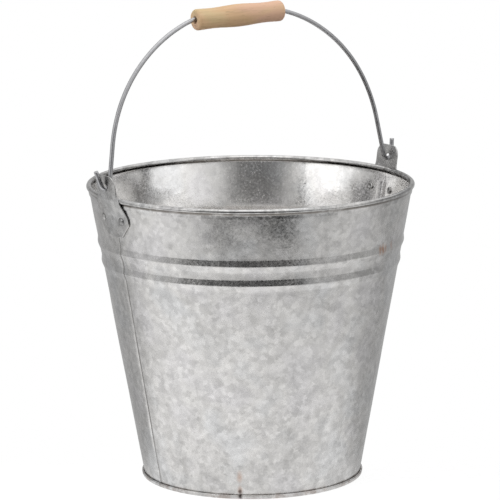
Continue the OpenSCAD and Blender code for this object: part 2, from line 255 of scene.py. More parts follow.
class Parts:
    """Vertices, faces and material numbers gathered from several pieces of one sheet."""

    def __init__(self):
        self.verts, self.faces, self.picks = [], [], []

    def add(self, verts, faces, picks):
        first = len(self.verts)
        self.verts += [tuple(v) for v in verts]
        self.faces += [tuple(first + i for i in f) for f in faces]
        self.picks += list(picks)

    def turned(self, loop, thetas, closed, give, picks):
        """A closed (r, z) outline turned through the bearings, pushed outwards by its give."""
        loop = np.asarray(loop, float)
        r, z = loop[:, 0][None, :], loop[:, 1][None, :]
        t = np.asarray(thetas)[:, None]
        rr = r + give(t, r, z)
        verts = np.stack([rr * np.cos(t), rr * np.sin(t), np.broadcast_to(z, rr.shape)], -1)
        n = len(loop)
        faces = [f[::-1] for f in grid_faces(len(thetas), n, closed, True)]
        numbers = [picks[j] for _ in range(len(thetas) - (0 if closed else 1)) for j in range(n)]
        if not closed:
            faces += strip_cap(n, 0, False) + strip_cap(n, (len(thetas) - 1) * n, True)
            numbers += [picks[0]] * (n - 2)
        self.add(verts.reshape(-1, 3), faces, numbers)


def strip_cap(n, first, flip):
    """Closes a sheet's cut end with quads between its two sides."""
    faces = []
    for i in range(n // 2 - 1):
        quad = (first + i, first + i + 1, first + n - 2 - i, first + n - 1 - i)
        faces.append(quad[::-1] if flip else quad)
    return faces


# ---- material nodes
class Nodes:
    """A short way to write a node tree."""

    def __init__(self, name, world=None):
        if world is None:
            self.data = bpy.data.materials.new(name)
        else:
            self.data = world
        self.data.use_nodes = True
        self.tree = self.data.node_tree
        self.tree.nodes.clear()

    def add(self, kind, **values):
        node = self.tree.nodes.new(kind)
        for key, value in values.items():
            setattr(node, key, value)
        return node

    def join(self, value, socket):
        if isinstance(value, bpy.types.NodeSocket):
            self.tree.links.new(value, socket)
        elif value is not None:
            socket.default_value = value

    def math(self, operation, a, b=None, c=None, clamp=False):
        node = self.add("ShaderNodeMath", operation=operation, use_clamp=clamp)
        for i, v in enumerate((a, b, c)):
            self.join(v, node.inputs[i])
        return node.outputs[0]

    def vector(self, operation, a, b=None):
        node = self.add("ShaderNodeVectorMath", operation=operation)
        self.join(a, node.inputs[0])
        self.join(b, node.inputs[1])
        return node.outputs[0]

    def place(self, scale=(1, 1, 1)):
        node = self.add("ShaderNodeMapping")
        self.join(self.add("ShaderNodeTexCoord").outputs["Object"], node.inputs["Vector"])
        node.inputs["Scale"].default_value = scale
        return node.outputs[0]

    def noise(self, vector, scale, detail=3.0, rough=0.5, distortion=0.0, output="Fac"):
        node = self.add("ShaderNodeTexNoise")
        self.join(vector, node.inputs["Vector"])
        node.inputs["Scale"].default_value = scale
        node.inputs["Detail"].default_value = detail
        node.inputs["Roughness"].default_value = rough
        node.inputs["Distortion"].default_value = distortion
        return node.outputs[output]

    def split(self, vector):
        """The X, Y and Z of a point or direction."""
        node = self.add("ShaderNodeSeparateXYZ")
        self.join(vector, node.inputs[0])
        return node.outputs

    def swing(self, value, amount):
        """A noise of 0 to 1 as a change of up to half the amount, down or up."""
        return self.math("MULTIPLY", self.math("SUBTRACT", value, 0.5), amount)

    def sum(self, first, *others):
        for other in others:
            first = self.math("ADD", first, other)
        return first

    def ramp(self, value, stops):
        node = self.add("ShaderNodeValToRGB")
        marks = node.color_ramp.elements
        while len(marks) < len(stops):
            marks.new(0.5)
        for mark, (position, shade) in zip(marks, stops):
            mark.position = position
            mark.color = (*shade, 1) if isinstance(shade, tuple) else (shade, shade, shade, 1)
        self.join(value, node.inputs[0])
        return node.outputs[0]

    def span(self, value, a, b, c=0.0, d=1.0, kind="SMOOTHSTEP"):
        node = self.add("ShaderNodeMapRange", interpolation_type=kind)
        for i, v in enumerate((value, a, b, c, d)):
            self.join(v, node.inputs[i])
        return node.outputs[0]

    def blend(self, share, a, b, mode="MIX"):
        node = self.add("ShaderNodeMix", data_type="RGBA", blend_type=mode)
        self.join(share, node.inputs[0])
        self.join(a if not isinstance(a, tuple) else (*a, 1), node.inputs[6])
        self.join(b if not isinstance(b, tuple) else (*b, 1), node.inputs[7])
        return node.outputs[2]

    def bump(self, height, strength, distance):
        node = self.add("ShaderNodeBump")
        node.inputs["Strength"].default_value = strength
        node.inputs["Distance"].default_value = distance
        self.join(height, node.inputs["Height"])
        return node.outputs[0]

    def glowing(self, kind, color, strength):
        """An emission or background shader: its light output."""
        node = self.add(kind)
        self.join((*color, 1) if isinstance(color, tuple) else color, node.inputs["Color"])
        self.join(strength, node.inputs["Strength"])
        return node.outputs[0]

    def two(self, kind, first, second, share=None):
        """Two shaders added, or mixed by a share of the second."""
        node = self.add(kind)
        if share is not None:
            self.join(share, node.inputs[0])
        self.join(first, node.inputs[-2])
        self.join(second, node.inputs[-1])
        return node.outputs[0]

    def output(self, kind, shader):
        self.join(shader, self.add(kind).inputs[0])
        return self.data

    def finish(self, color, roughness, metallic, normal, **fixed):
        shader = self.add("ShaderNodeBsdfPrincipled")
        self.join(color, shader.inputs["Base Color"])
        self.join(roughness, shader.inputs["Roughness"])
        self.join(metallic, shader.inputs["Metallic"])
        self.join(normal, shader.inputs["Normal"])
        for key, value in fixed.items():
            shader.inputs[key].default_value = value
        return self.output("ShaderNodeOutputMaterial", shader.outputs[0])


def zinc(name, level, rough, contrast, relief, with_rust_and_shade=True, patchy=1.0, corners=False):
    """Hot-dip zinc: fine flowered crystals, soft oxide clouds and a little old rust.

    level is the mean tone, rough the mean roughness, contrast how far the crystals' tones differ,
    relief the height of their bumps in metres, and patchy how far the roughness differs.
    """
    n = Nodes(name)
    at = n.place()
    _, y, z = n.split(at)

    # crystals: small feathery cells without hard edges, bent and broken up by noise
    bend = n.noise(at, 300, 2.0, 0.6, output="Color")
    bent = n.vector("ADD", at, n.vector("MULTIPLY", bend, (0.006, 0.006, 0.006)))
    cell = n.add("ShaderNodeTexVoronoi", feature="SMOOTH_F1")
    n.join(bent, cell.inputs["Vector"])
    cell.inputs["Scale"].default_value = 230
    cell.inputs["Smoothness"].default_value = 0.7
    tones = n.add("ShaderNodeSeparateColor")
    n.join(cell.outputs["Color"], tones.inputs[0])
    fine = n.noise(at, 520, 3.0, 0.6)
    grain = n.noise(at, 1100, 2.0, 0.6)
    crystal = n.sum(n.swing(tones.outputs[0], 1.0), n.swing(fine, 1.3), n.swing(grain, 0.35))

    # soft clouds of oxide, and faint vertical streaks
    cloud = n.noise(at, 17, 3.0, 0.55)
    blotch = n.noise(at, 70, 3.0, 0.55)
    streak = n.noise(n.place(scale=(1, 1, 0.1)), 80, 3.0, 0.6)
    tone = n.sum(n.math("MULTIPLY", crystal, contrast), n.swing(cloud, 0.16), n.swing(blotch, 0.26),
                 n.swing(streak, 0.1))
    value = n.math("ADD", tone, level, clamp=True)

    hue = n.noise(at, 24, 2.0, 0.5)
    tint = n.ramp(hue, [(0.34, (1.0, 0.985, 0.985)), (0.5, (1.0, 0.985, 0.965)),
                        (0.66, (0.985, 0.985, 0.985))])
    base = n.blend(1.0, tint, value, "MULTIPLY")

    # painted shade under the rolled rim, with a little grime, and along the seams
    if corners:
        base = rim_and_seam_shade(n, base, blotch, y, z)
    # real rust, and painted shade in the hem's pinch
    if with_rust_and_shade:
        base = paint_rust_and_pinch_shade(n, base, at, z)

    dull = n.sum(n.swing(fine, patchy), n.swing(cloud, 0.3))
    roughness = n.math("ADD", dull, rough, clamp=True)
    # each crystal lies at its own slight slope
    ripple = n.noise(at, 300, 2.0, 0.55)
    swell = n.noise(at, 75, 1.0, 0.5)
    height = n.sum(ripple, n.math("MULTIPLY", fine, 0.35), swell)
    return n.finish(base, roughness, 1.0, n.bump(height, 1.0, relief))


def rim_and_seam_shade(n, base, blotch, y, z):
    """Painted shade in the corner under the rolled rim, with a little grime there, and painted
    shade along the fold of each seam.
    """
    # painted shade in a band under the roll, broken up by the blotches
    corner = n.math("MULTIPLY", n.span(z, (TOP_Z - 1.6) * MM, (TOP_Z - 0.4) * MM),
                    n.span(z, (TOP_Z + 1.6) * MM, (TOP_Z + 1.0) * MM))
    corner = n.math("MULTIPLY", corner, n.span(blotch, 0.3, 0.5, 0.35, 0.8))
    base = n.blend(corner, base, (0.12, 0.105, 0.09))
    # painted shade over the seam's fold and slit, broken up by the blotches
    fold_shade = n.math("MULTIPLY", n.span(y, -6.2 * MM, -4.6 * MM), n.span(y, -2.4 * MM, -3.6 * MM))
    fold_shade = n.math("MULTIPLY", fold_shade, n.span(blotch, 0.3, 0.6, 0.3, 0.75))
    return n.blend(fold_shade, base, (0.27, 0.26, 0.25))


def paint_rust_and_pinch_shade(n, base, at, z):
    """Thin rust in patches along the hem, and the marks of the list: rust, and painted shade in the
    hem's pinch.
    """
    grit = n.noise(at, 190, 4.0, 0.7)
    patch = n.span(n.noise(at, 34, 3.0, 0.6), 0.4, 0.62)
    low = n.math("MULTIPLY", n.span(z, 7.5 * MM, 2 * MM), patch)
    mask = n.math("MULTIPLY", low, n.span(grit, 0.38, 0.6), clamp=True)
    base = n.blend(n.math("MULTIPLY", mask, 0.5), base, (0.2, 0.135, 0.105))
    for place, radius, share, shade in RUST_AND_SHADE_MARKS:
        # a mark is about twice as tall as it is wide, and its edge is ragged
        away = n.vector("MULTIPLY", n.vector("SUBTRACT", at, place), (1, 1, 0.45))
        length = n.add("ShaderNodeVectorMath", operation="LENGTH")
        n.join(away, length.inputs[0])
        ragged = n.math("ADD", length.outputs["Value"], n.math("MULTIPLY", grit, 3 * MM))
        near = n.span(ragged, radius + 1.5 * MM, 1.5 * MM)
        base = n.blend(n.math("MULTIPLY", near, share), base, shade)
    return base


def wire_zinc(name):
    """Drawn wire with a bright coat, duller in patches and with a fine grain."""
    n = Nodes(name)
    at = n.place()
    patch = n.noise(at, 120, 3.0, 0.6)
    grain = n.noise(at, 900, 2.0, 0.6)
    value = n.sum(n.math("MULTIPLY", patch, 0.2), n.math("MULTIPLY", grain, 0.16))
    base = n.ramp(value, [(0.08, (0.3, 0.3, 0.31)), (0.2, (0.44, 0.44, 0.45)),
                          (0.32, (0.58, 0.58, 0.58))])
    rough = n.span(patch, 0.3, 0.7, 0.26, 0.4)
    return n.finish(base, rough, 1.0, n.bump(grain, 0.35, 0.2 * MM))


def pale_wood(name):
    """Turned beech: grain along the grip, darker pores, and lathe rings across it."""
    n = Nodes(name)
    along = n.place(scale=(0.07, 1, 1))
    fibre = n.noise(along, 520, 4.0, 0.62)
    band = n.noise(along, 105, 3.0, 0.55, distortion=0.4)
    pores = n.noise(n.place(scale=(0.05, 1, 1)), 1500, 2.0, 0.5)
    warm = n.noise(n.place(scale=(0.35, 1, 1)), 48, 2.0, 0.5)
    rings = n.noise(n.place(scale=(1, 0.02, 0.02)), 1400, 2.0, 0.5)
    base = n.ramp(band, [(0.3, (0.60, 0.385, 0.205)), (0.48, (0.72, 0.48, 0.275)),
                         (0.7, (0.80, 0.575, 0.355))])
    # rosy and olive areas, darker fibres, then pores: (mask, its start and end, share, colour)
    for mask, start, full, share, shade in ((warm, 0.46, 0.66, 0.7, (0.74, 0.455, 0.33)),
                                            (warm, 0.46, 0.3, 0.5, (0.64, 0.54, 0.29)),
                                            (fibre, 0.5, 0.28, 0.4, (0.48, 0.31, 0.185)),
                                            (pores, 0.36, 0.26, 0.55, (0.30, 0.18, 0.09))):
        base = n.blend(n.math("MULTIPLY", n.span(mask, start, full), share), base, shade)
    rough = n.span(fibre, 0.3, 0.7, 0.46, 0.62)
    height = n.sum(n.math("MULTIPLY", fibre, 0.6), n.math("MULTIPLY", rings, 0.5))
    normal = n.bump(height, 0.35, 0.2 * MM)
    return n.finish(base, rough, 0.0, normal, **{"Specular IOR Level": 0.35})


# Old rust, and painted shade in the hem's pinch: (place in metres, radius in metres, strength,
# colour)
RUST, PINCH_SHADE = (0.42, 0.2, 0.1), (0.035, 0.03, 0.03)
RUST_AND_SHADE_MARKS = [((-0.0641, -0.0812, 0.021), 0.004, 0.4, RUST),
          ((-0.0633, -0.0800, 0.007), 0.0036, 0.5, RUST),
          # the next two are painted shade in the pinch of the hem
          ((-0.0633, -0.0801, 0.0035), 0.0032, 1.0, PINCH_SHADE),
          ((-0.0633, -0.0801, 0.0055), 0.0026, 1.0, PINCH_SHADE),
          ((0.0555, -0.1280, 0.2232), 0.0032, 0.7, RUST),
          ((0.0600, -0.1259, 0.2234), 0.0036, 0.8, RUST),
          ((0.0640, -0.1240, 0.2232), 0.003, 0.6, RUST),
          ((0.0743, -0.1180, 0.2240), 0.0034, 0.4, RUST)]
OUTSIDE = zinc("zinc_outside", 0.55, 0.24, 0.17, 0.00003, patchy=0.45, corners=True)
# the inside is the same zinc as the outside; its lighter tone is painted light in the bucket's
# inside
INSIDE = zinc("zinc_inside", 0.8, 0.19, 0.14, 0.00004, with_rust_and_shade=False, patchy=0.5)
ROLLED = zinc("zinc_rolled", 0.5, 0.15, 0.24, 0.00005, with_rust_and_shade=False, patchy=0.5, corners=True)
EAR = zinc("zinc_ear", 0.49, 0.27, 0.2, 0.00007, with_rust_and_shade=False, patchy=0.6)
RIVET = zinc("zinc_rivet", 0.4, 0.28, 0.2, 0.00012, with_rust_and_shade=False)
WIRE = wire_zinc("zinc_wire")
WOOD = pale_wood("turned_beech")

# ---- the two half shells
HEM_PITCH = SHEET_T + FIT_GAP + 0.01
HEM_LOW_Z = SHEET_T + FIT_GAP + SHEET_T / 2 + HEM_PITCH
HEM_TOP_Z = HEM_H - SHEET_T / 2 - HEM_PITCH
FLANGE_TOP_Z = HEM_TOP_Z - 0.1
NECK_Z, RIM_TAIL_LOW_Z, TAIL_GAP = TOP_Z - 0.9, TOP_Z - TAIL_H, SHEET_T + FIT_GAP + 0.01
SEAM_R = (FOOT_R + TOP_R) / 2
SEAM_HALF = SEAM_W / 2 / SEAM_R
FOLD_A, SLIT_A = 0.28 * DEG, 0.12 * DEG
DIP_DEPTH, DIP_W = 0.22, 0.75


def hem_r(layer, z):
    """The middle radius of a layer of the hem, counted outwards from the wall's own sheet."""
    return straight_r(z) + layer * HEM_PITCH


def wall_heights(low, high, step=5.0):
    """Heights of the wall's rows, close together in the beads."""
    marks = {low, high}
    for middle in BEAD_HEIGHTS:
        marks |= set(np.round(np.linspace(middle - BEAD_W / 2, middle + BEAD_W / 2, 25), 4))
    marks |= {z for z in np.arange(low + step, high, step)
              if all(abs(z - middle) > BEAD_W / 2 + 1 for middle in BEAD_HEIGHTS)}
    return sorted(marks)


def wall_line(low, high):
    return [(straight_r(z) + float(bead_bulge(z)), z) for z in wall_heights(low, high)]


foot = [(hem_r(2, FLANGE_TOP_Z), FLANGE_TOP_Z)]
foot += arc((hem_r(1, HEM_LOW_Z), HEM_LOW_Z), HEM_PITCH, 0, -180, 15)
wall = wall_line(HEM_LOW_Z + 2, NECK_Z)
roll = arc(ROLL_C, ROLL_R - SHEET_T / 2, 248, -66)
roll += [(straight_r(z) + TAIL_GAP, z) for z in (NECK_Z, RIM_TAIL_LOW_Z)]
shell_line = eased(foot + wall + roll, 0.45)
inner_side, outer_side = both_sides(shell_line, SHEET_T)
shell_loop = np.vstack([outer_side, inner_side[::-1]])


def shell_give(theta, r, z):
    return wall_give(theta, z) + rim_give(theta, z)


def edge_dip(theta, z, edge):
    """The wall rounds over into the seam's fold: a shallow groove beside the edge."""
    away = np.abs(side_distance(theta) * DEG - edge) * straight_r(z)
    deep = DIP_DEPTH * smooth(4, 12, z) * (1 - smooth(254, 262, z))
    return -deep * np.exp(-((away / DIP_W) ** 2))


def bearings(a, b, step=0.8):
    """Bearings in radians from a to b in degrees, close together at both ends."""
    near = np.array([0, 0.1, 0.25, 0.45, 0.7, 1.05, 1.5])
    inner = np.linspace(a + 2, b - 2, int((b - a - 4) / step))
    return np.concatenate([a + near, inner, (b - near)[::-1]]) * DEG


def loop_picks(loop):
    """0 for the wall's outside, 1 for its inside, 2 for the rolled rim and its tail."""
    middle = (loop + np.roll(loop, -1, 0)) / 2
    n = len(loop) // 2
    picks = []
    for i, (r, z) in enumerate(middle):
        on_tail = z > RIM_TAIL_LOW_Z - 0.2 and r > straight_r(z) + 0.35
        if z > NECK_Z + 0.3 or on_tail:
            picks.append(2)
        else:
            picks.append(0 if i < n else 1)
    return picks


def seam_point(bearing, depth, z):
    """A point on a seam layer: depth counts inwards from the wall's middle."""
    give = float(wall_give(np.array(bearing), z))
    r = straight_r(z) + float(bead_bulge(z)) + give - depth
    return r * math.cos(bearing), r * math.sin(bearing)


def add_fold(parts, cross, at_x, heights):
    """A folded sheet, given across the seam as (mm along the wall, mm inwards), run up the wall."""
    left, right = both_sides(eased(cross, 0.4, 4), SHEET_T)
    loop = np.vstack([left, right[::-1]])
    verts = []
    for z in heights:
        for s, d in loop:
            x, y = seam_point(s / SEAM_R, d, z)
            verts.append((x * at_x, y, z))
    n = len(loop)
    faces = grid_faces(len(heights), n, False, True)
    faces += [f[::-1] for f in strip_cap(n, 0, True)]
    faces += [f[::-1] for f in strip_cap(n, (len(heights) - 1) * n, False)]
    if at_x < 0:
        faces = [f[::-1] for f in faces]
    parts.add(verts, faces, [1] * len(faces))


def fold_arc(s, outer, inner, side):
    """A fold that turns from one layer to another, open towards the other side."""
    radius = (inner - outer) * SEAM_PITCH / 2
    middle = (inner + outer) * SEAM_PITCH / 2
    return [(s + side * radius * math.cos(t), middle - radius * math.sin(t))
            for t in np.linspace(-np.pi / 2, np.pi / 2, 9)]


half_w, slit_w, fold_w = SEAM_HALF * SEAM_R, SLIT_A * SEAM_R, FOLD_A * SEAM_R
front_fold, front_turn = -half_w - slit_w - fold_w / 2, half_w - 0.4
front_cross = ([(front_fold, 0.15), (front_fold, 3 * SEAM_PITCH), (front_turn, 3 * SEAM_PITCH)]
               + fold_arc(front_turn, 1, 3, 1)[1:-1]
               + [(front_turn, SEAM_PITCH), (-half_w + fold_w + slit_w, SEAM_PITCH)])
back_cross = [(-half_w + fold_w / 2, 0.15), (-half_w + fold_w / 2, 2 * SEAM_PITCH),
              (half_w - slit_w - 0.8, 2 * SEAM_PITCH)]
seam_heights = wall_heights(SEAM_LOW_Z, SEAM_HIGH_Z)
shell_picks = loop_picks(shell_loop)
front_edge, back_edge = SEAM_HALF + SLIT_A, SEAM_HALF


def front_give(theta, r, z):
    return shell_give(theta, r, z) + edge_dip(theta, z, front_edge)


def back_give(theta, r, z):
    to_edge = np.minimum(np.abs(theta + back_edge), np.abs(theta - np.pi - back_edge))
    return shell_give(theta, r, z) + edge_dip(theta, z, back_edge) * (to_edge < 2 * DEG)


front = Parts()
front.turned(shell_loop, bearings(-180 + front_edge / DEG, -front_edge / DEG), False, front_give,
             shell_picks)
back = Parts()
back.turned(shell_loop, bearings(-back_edge / DEG, 180 + back_edge / DEG), False, back_give,
            shell_picks)
for side in (1, -1):
    add_fold(front, front_cross, side, seam_heights)
    add_fold(back, back_cross, side, seam_heights)
SHELL_ZINC = [OUTSIDE, INSIDE, ROLLED]
add_mesh("front_sheet", front.verts, front.faces, SHELL_ZINC, "bucket", ["front_shell"],
         front.picks)
add_mesh("back_sheet", back.verts, back.faces, SHELL_ZINC, "bucket", ["back_shell"],
         back.picks)

# ---- the bottom and its hem
SKIRT_GAP = SHEET_T + FIT_GAP + 0.05
PANEL_Z, PANEL_ROUND, FOOT_ROUND = RECESS_H + SHEET_T / 2, 2.0, 0.8
PANEL_TURN_Z, FOOT_TURN_Z = PANEL_Z - PANEL_ROUND, SHEET_T / 2 + FOOT_ROUND
LEAN_SIN, LEAN_COS = math.sin(WALL_LEAN * DEG), math.cos(WALL_LEAN * DEG)
PANEL_FLAT_R, PANEL_CROWN, BOTTOM_STEPS = 93, 0.3, 480
panel_r = straight_r(PANEL_TURN_Z - PANEL_ROUND * LEAN_SIN) - SKIRT_GAP - PANEL_ROUND * LEAN_COS
inner_turn_r = straight_r(FOOT_TURN_Z + FOOT_ROUND * LEAN_SIN) - SKIRT_GAP + FOOT_ROUND * LEAN_COS
outer_turn_r = hem_r(3, FOOT_TURN_Z - FOOT_ROUND * LEAN_SIN) - FOOT_ROUND * LEAN_COS
bottom_line = eased(
    [(r, PANEL_Z) for r in (0.5, 8, 16, 24, 32, 40, 48, 56, 64, 72, 80, 88)]
    + arc((panel_r, PANEL_TURN_Z), PANEL_ROUND, 90, -WALL_LEAN, 10)
    + arc((inner_turn_r, FOOT_TURN_Z), FOOT_ROUND, 180 - WALL_LEAN, 270, 10)
    + arc((outer_turn_r, FOOT_TURN_Z), FOOT_ROUND, 270, 360 - WALL_LEAN, 10)
    + arc((hem_r(2, HEM_TOP_Z), HEM_TOP_Z), HEM_PITCH, 0, 180, 12)
    + [(hem_r(1, HEM_LOW_Z + 0.3), HEM_LOW_Z + 0.3)], 0.3)
upper, under = both_sides(bottom_line, SHEET_T)
bottom_loop = np.vstack([upper, under[::-1]])
bottom = Parts()
bottom_picks = [1 if i < len(upper) and r < 99.0 else 0 for i, (r, _) in enumerate(bottom_loop)]
bottom.turned(bottom_loop, full_turn(BOTTOM_STEPS), True, hem_give, bottom_picks)
# the outline's two inmost points are not joined to each other: each fans in to a middle point
ring = len(bottom_loop)
kept = [i for i, face in enumerate(bottom.faces) if {v % ring for v in face} != {0, ring - 1}]
faces = [bottom.faces[i] for i in kept]
picks = [bottom.picks[i] for i in kept]
middles = [[0, 0, PANEL_Z + SHEET_T / 2], [0, 0, PANEL_Z - SHEET_T / 2]]
verts = np.vstack([bottom.verts, middles])
top_mid, low_mid = len(verts) - 2, len(verts) - 1
for i in range(BOTTOM_STEPS):
    j = (i + 1) % BOTTOM_STEPS
    faces += [(i * ring, j * ring, top_mid), (j * ring + ring - 1, i * ring + ring - 1, low_mid)]
    picks += [1, 0]
# the panel is thin sheet, and is nowhere quite flat
flat_r = np.hypot(verts[:, 0], verts[:, 1])
around = np.arctan2(verts[:, 1], verts[:, 0])
out_share = np.clip(flat_r / PANEL_FLAT_R, 0, 1)
swell = sum(h * np.cos(m * around + p) * np.sin(np.pi * out_share) for m, h, p in PANEL_WAVES)
crown = PANEL_CROWN * np.cos(np.pi / 2 * out_share) ** 2
verts[:, 2] += (swell + crown) * (flat_r < PANEL_FLAT_R)
add_mesh("bottom_pan", verts, faces, [OUTSIDE, INSIDE], "bucket", ["bottom_disc"],
         picks)

# the wire inside the rolled rim doesn't show, and keeps the CAD's shape
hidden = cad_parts["rim_wire"]
hidden.data.materials.clear()
hidden.data.materials.append(WIRE)


# ---- ears
def rounded_corner(a, b, c, r, step=9.0):
    """The corner b between a and c as an arc."""
    a, b, c = (np.array(q, float) for q in (a, b, c))
    u, w = (a - b) / np.linalg.norm(a - b), (c - b) / np.linalg.norm(c - b)
    half = math.acos(np.clip(u @ w, -1, 1)) / 2
    m = (u + w) / np.linalg.norm(u + w)
    centre = b + m * r / math.sin(half)
    s, e = b + u * r / math.tan(half) - centre, b + w * r / math.tan(half) - centre
    a0 = math.degrees(math.atan2(s[1], s[0]))
    turn = (math.degrees(math.atan2(e[1], e[0])) - a0 + 180) % 360 - 180
    return arc(centre, r, a0, a0 + turn, step)


EAR_HALF_W, EAR_TOP_HALF_W = 25.5, 16.5
EAR_HALF = [(EAR_HALF_W - 14, EAR_LOW_Z), (EAR_HALF_W, RIVET_Z - 3), (EAR_HALF_W, RIVET_Z + 2.5),
            (EAR_TOP_HALF_W, BUCKET_H + 1), (EAR_TOP_HALF_W, EAR_TOP_Z)]
EAR_HALF_R = [9, 4, 4, 14, 9]
corners = EAR_HALF + [(-x, z) for x, z in EAR_HALF[::-1]]
corner_r = EAR_HALF_R + EAR_HALF_R[::-1]
ear_outline = []
for i, corner in enumerate(corners):
    following = corners[(i + 1) % len(corners)]
    ear_outline += rounded_corner(corners[i - 1], corner, following, corner_r[i])


def resampled(loop, count):
    """Evenly spaced points round a closed outline."""
    p = np.array(list(loop) + [loop[0]], float)
    run = np.concatenate([[0], np.cumsum(np.linalg.norm(np.diff(p, axis=0), axis=1))])
    at = np.linspace(0, run[-1], count, endpoint=False)
    return np.stack([np.interp(at, run, p[:, 0]), np.interp(at, run, p[:, 1])], 1)


def by_angle(loop, centre, angles):
    """Where rays from a centre meet a closed outline."""
    p = np.array(loop, float) - centre
    a = np.unwrap(np.arctan2(p[:, 1], p[:, 0]))
    if a[-1] < a[0]:
        p, a = p[::-1], a[::-1]
    a = np.concatenate([a - 2 * np.pi, a, a + 2 * np.pi])
    p = np.vstack([p, p, p])
    return np.stack([np.interp(angles, a, p[:, 0]), np.interp(angles, a, p[:, 1])], 1) + centre


def ear_r(z):
    """The ear plate's middle radius: on the wall, out to the roll, then flared."""
    on_wall = straight_r(z) + EAR_GAP
    share = (z - EAR_BEND_Z) / (ROLL_Z - EAR_BEND_Z)
    leap = (straight_r(EAR_BEND_Z) + EAR_GAP) * (1 - share) + EAR_ROLL_R * share
    flared = EAR_ROLL_R + EAR_FLARE * (z - ROLL_Z)
    soft = 1.3
    first = smooth(EAR_BEND_Z - soft, EAR_BEND_Z + soft, z)
    second = smooth(ROLL_Z - soft, ROLL_Z + soft, z)
    return (on_wall * (1 - first) + leap * first) * (1 - second) + flared * second


def ear_points(yz, offset):
    """Plate points from (y, z) seen square on, off its middle surface by the offset."""
    y, z = yz[:, 0], yz[:, 1]
    r = ear_r(z)
    lean = (ear_r(z + 0.05) - ear_r(z - 0.05)) / 0.1
    up = 1 / np.sqrt(1 + lean**2)
    a = np.arcsin(y / r)
    out = np.stack([np.cos(a) * up, np.sin(a) * up, -lean * up], 1)
    middle = np.stack([r * np.cos(a), y, z], 1)
    return middle + out * np.asarray(offset).reshape(-1, 1)


def add_ear(name, side, node):
    """A plate with a hole: rows round the hole, inside it, round its outline and back outside."""
    centre = np.array([0.0, EAR_HOLE_Z])
    angles = np.unwrap(np.arctan2(*(resampled(ear_outline, 220) - centre).T[::-1]))
    angles = np.sort((angles + np.pi) % (2 * np.pi) - np.pi)
    rim = by_angle(ear_outline, centre, angles)
    hole = centre + EAR_HOLE_D / 2 * np.stack([np.cos(angles), np.sin(angles)], 1)
    way = rim - hole
    length = np.linalg.norm(way, axis=1)[:, None]
    ease = 0.4
    across = [hole + way / length * (ease + t * (length - 2 * ease))
              for t in np.linspace(0, 1, 46)[1:-1]]
    # (mm in from the edge, share of the half thickness), outside first
    edge = [(ease, 1.0), (0.12, 0.86), (0.0, 0.5), (0.0, -0.5), (0.12, -0.86), (ease, -1.0)]
    places = [(hole + way / length * inset, share) for inset, share in edge]
    places += [(yz, -1) for yz in across]
    places += [(rim - way / length * inset, share) for inset, share in edge[::-1]]
    places += [(yz, 1) for yz in across[::-1]]
    rows = [ear_points(yz, EAR_T / 2 * share * np.ones(len(rim))) for yz, share in places]
    verts = np.vstack(rows)
    faces = grid_faces(len(rows), len(rim), True, True)
    if side < 0:
        verts[:, 0] *= -1
        faces = [f[::-1] for f in faces]
    add_mesh(name, verts, faces, [EAR], "bucket", [node], sharp=50)


add_ear("right_ear_plate", 1, "right_ear")
add_ear("left_ear_plate", -1, "left_ear")


# ---- rivets
def lathe(profile, count):
    """A profile of (radius, height) turned about Z; its first and last points are on the axis."""
    a = full_turn(count)
    verts = [(0, 0, profile[0][1])]
    for r, h in profile[1:-1]:
        verts += [(r * math.cos(t), r * math.sin(t), h) for t in a]
    verts.append((0, 0, profile[-1][1]))
    faces = [f[::-1] for f in grid_faces(len(profile) - 2, count, False, True, 1)]
    last = 1 + (len(profile) - 3) * count
    for i in range(count):
        j = (i + 1) % count
        faces += [(0, 1 + j, 1 + i), (len(verts) - 1, last + i, last + j)]
    return np.array(verts), faces


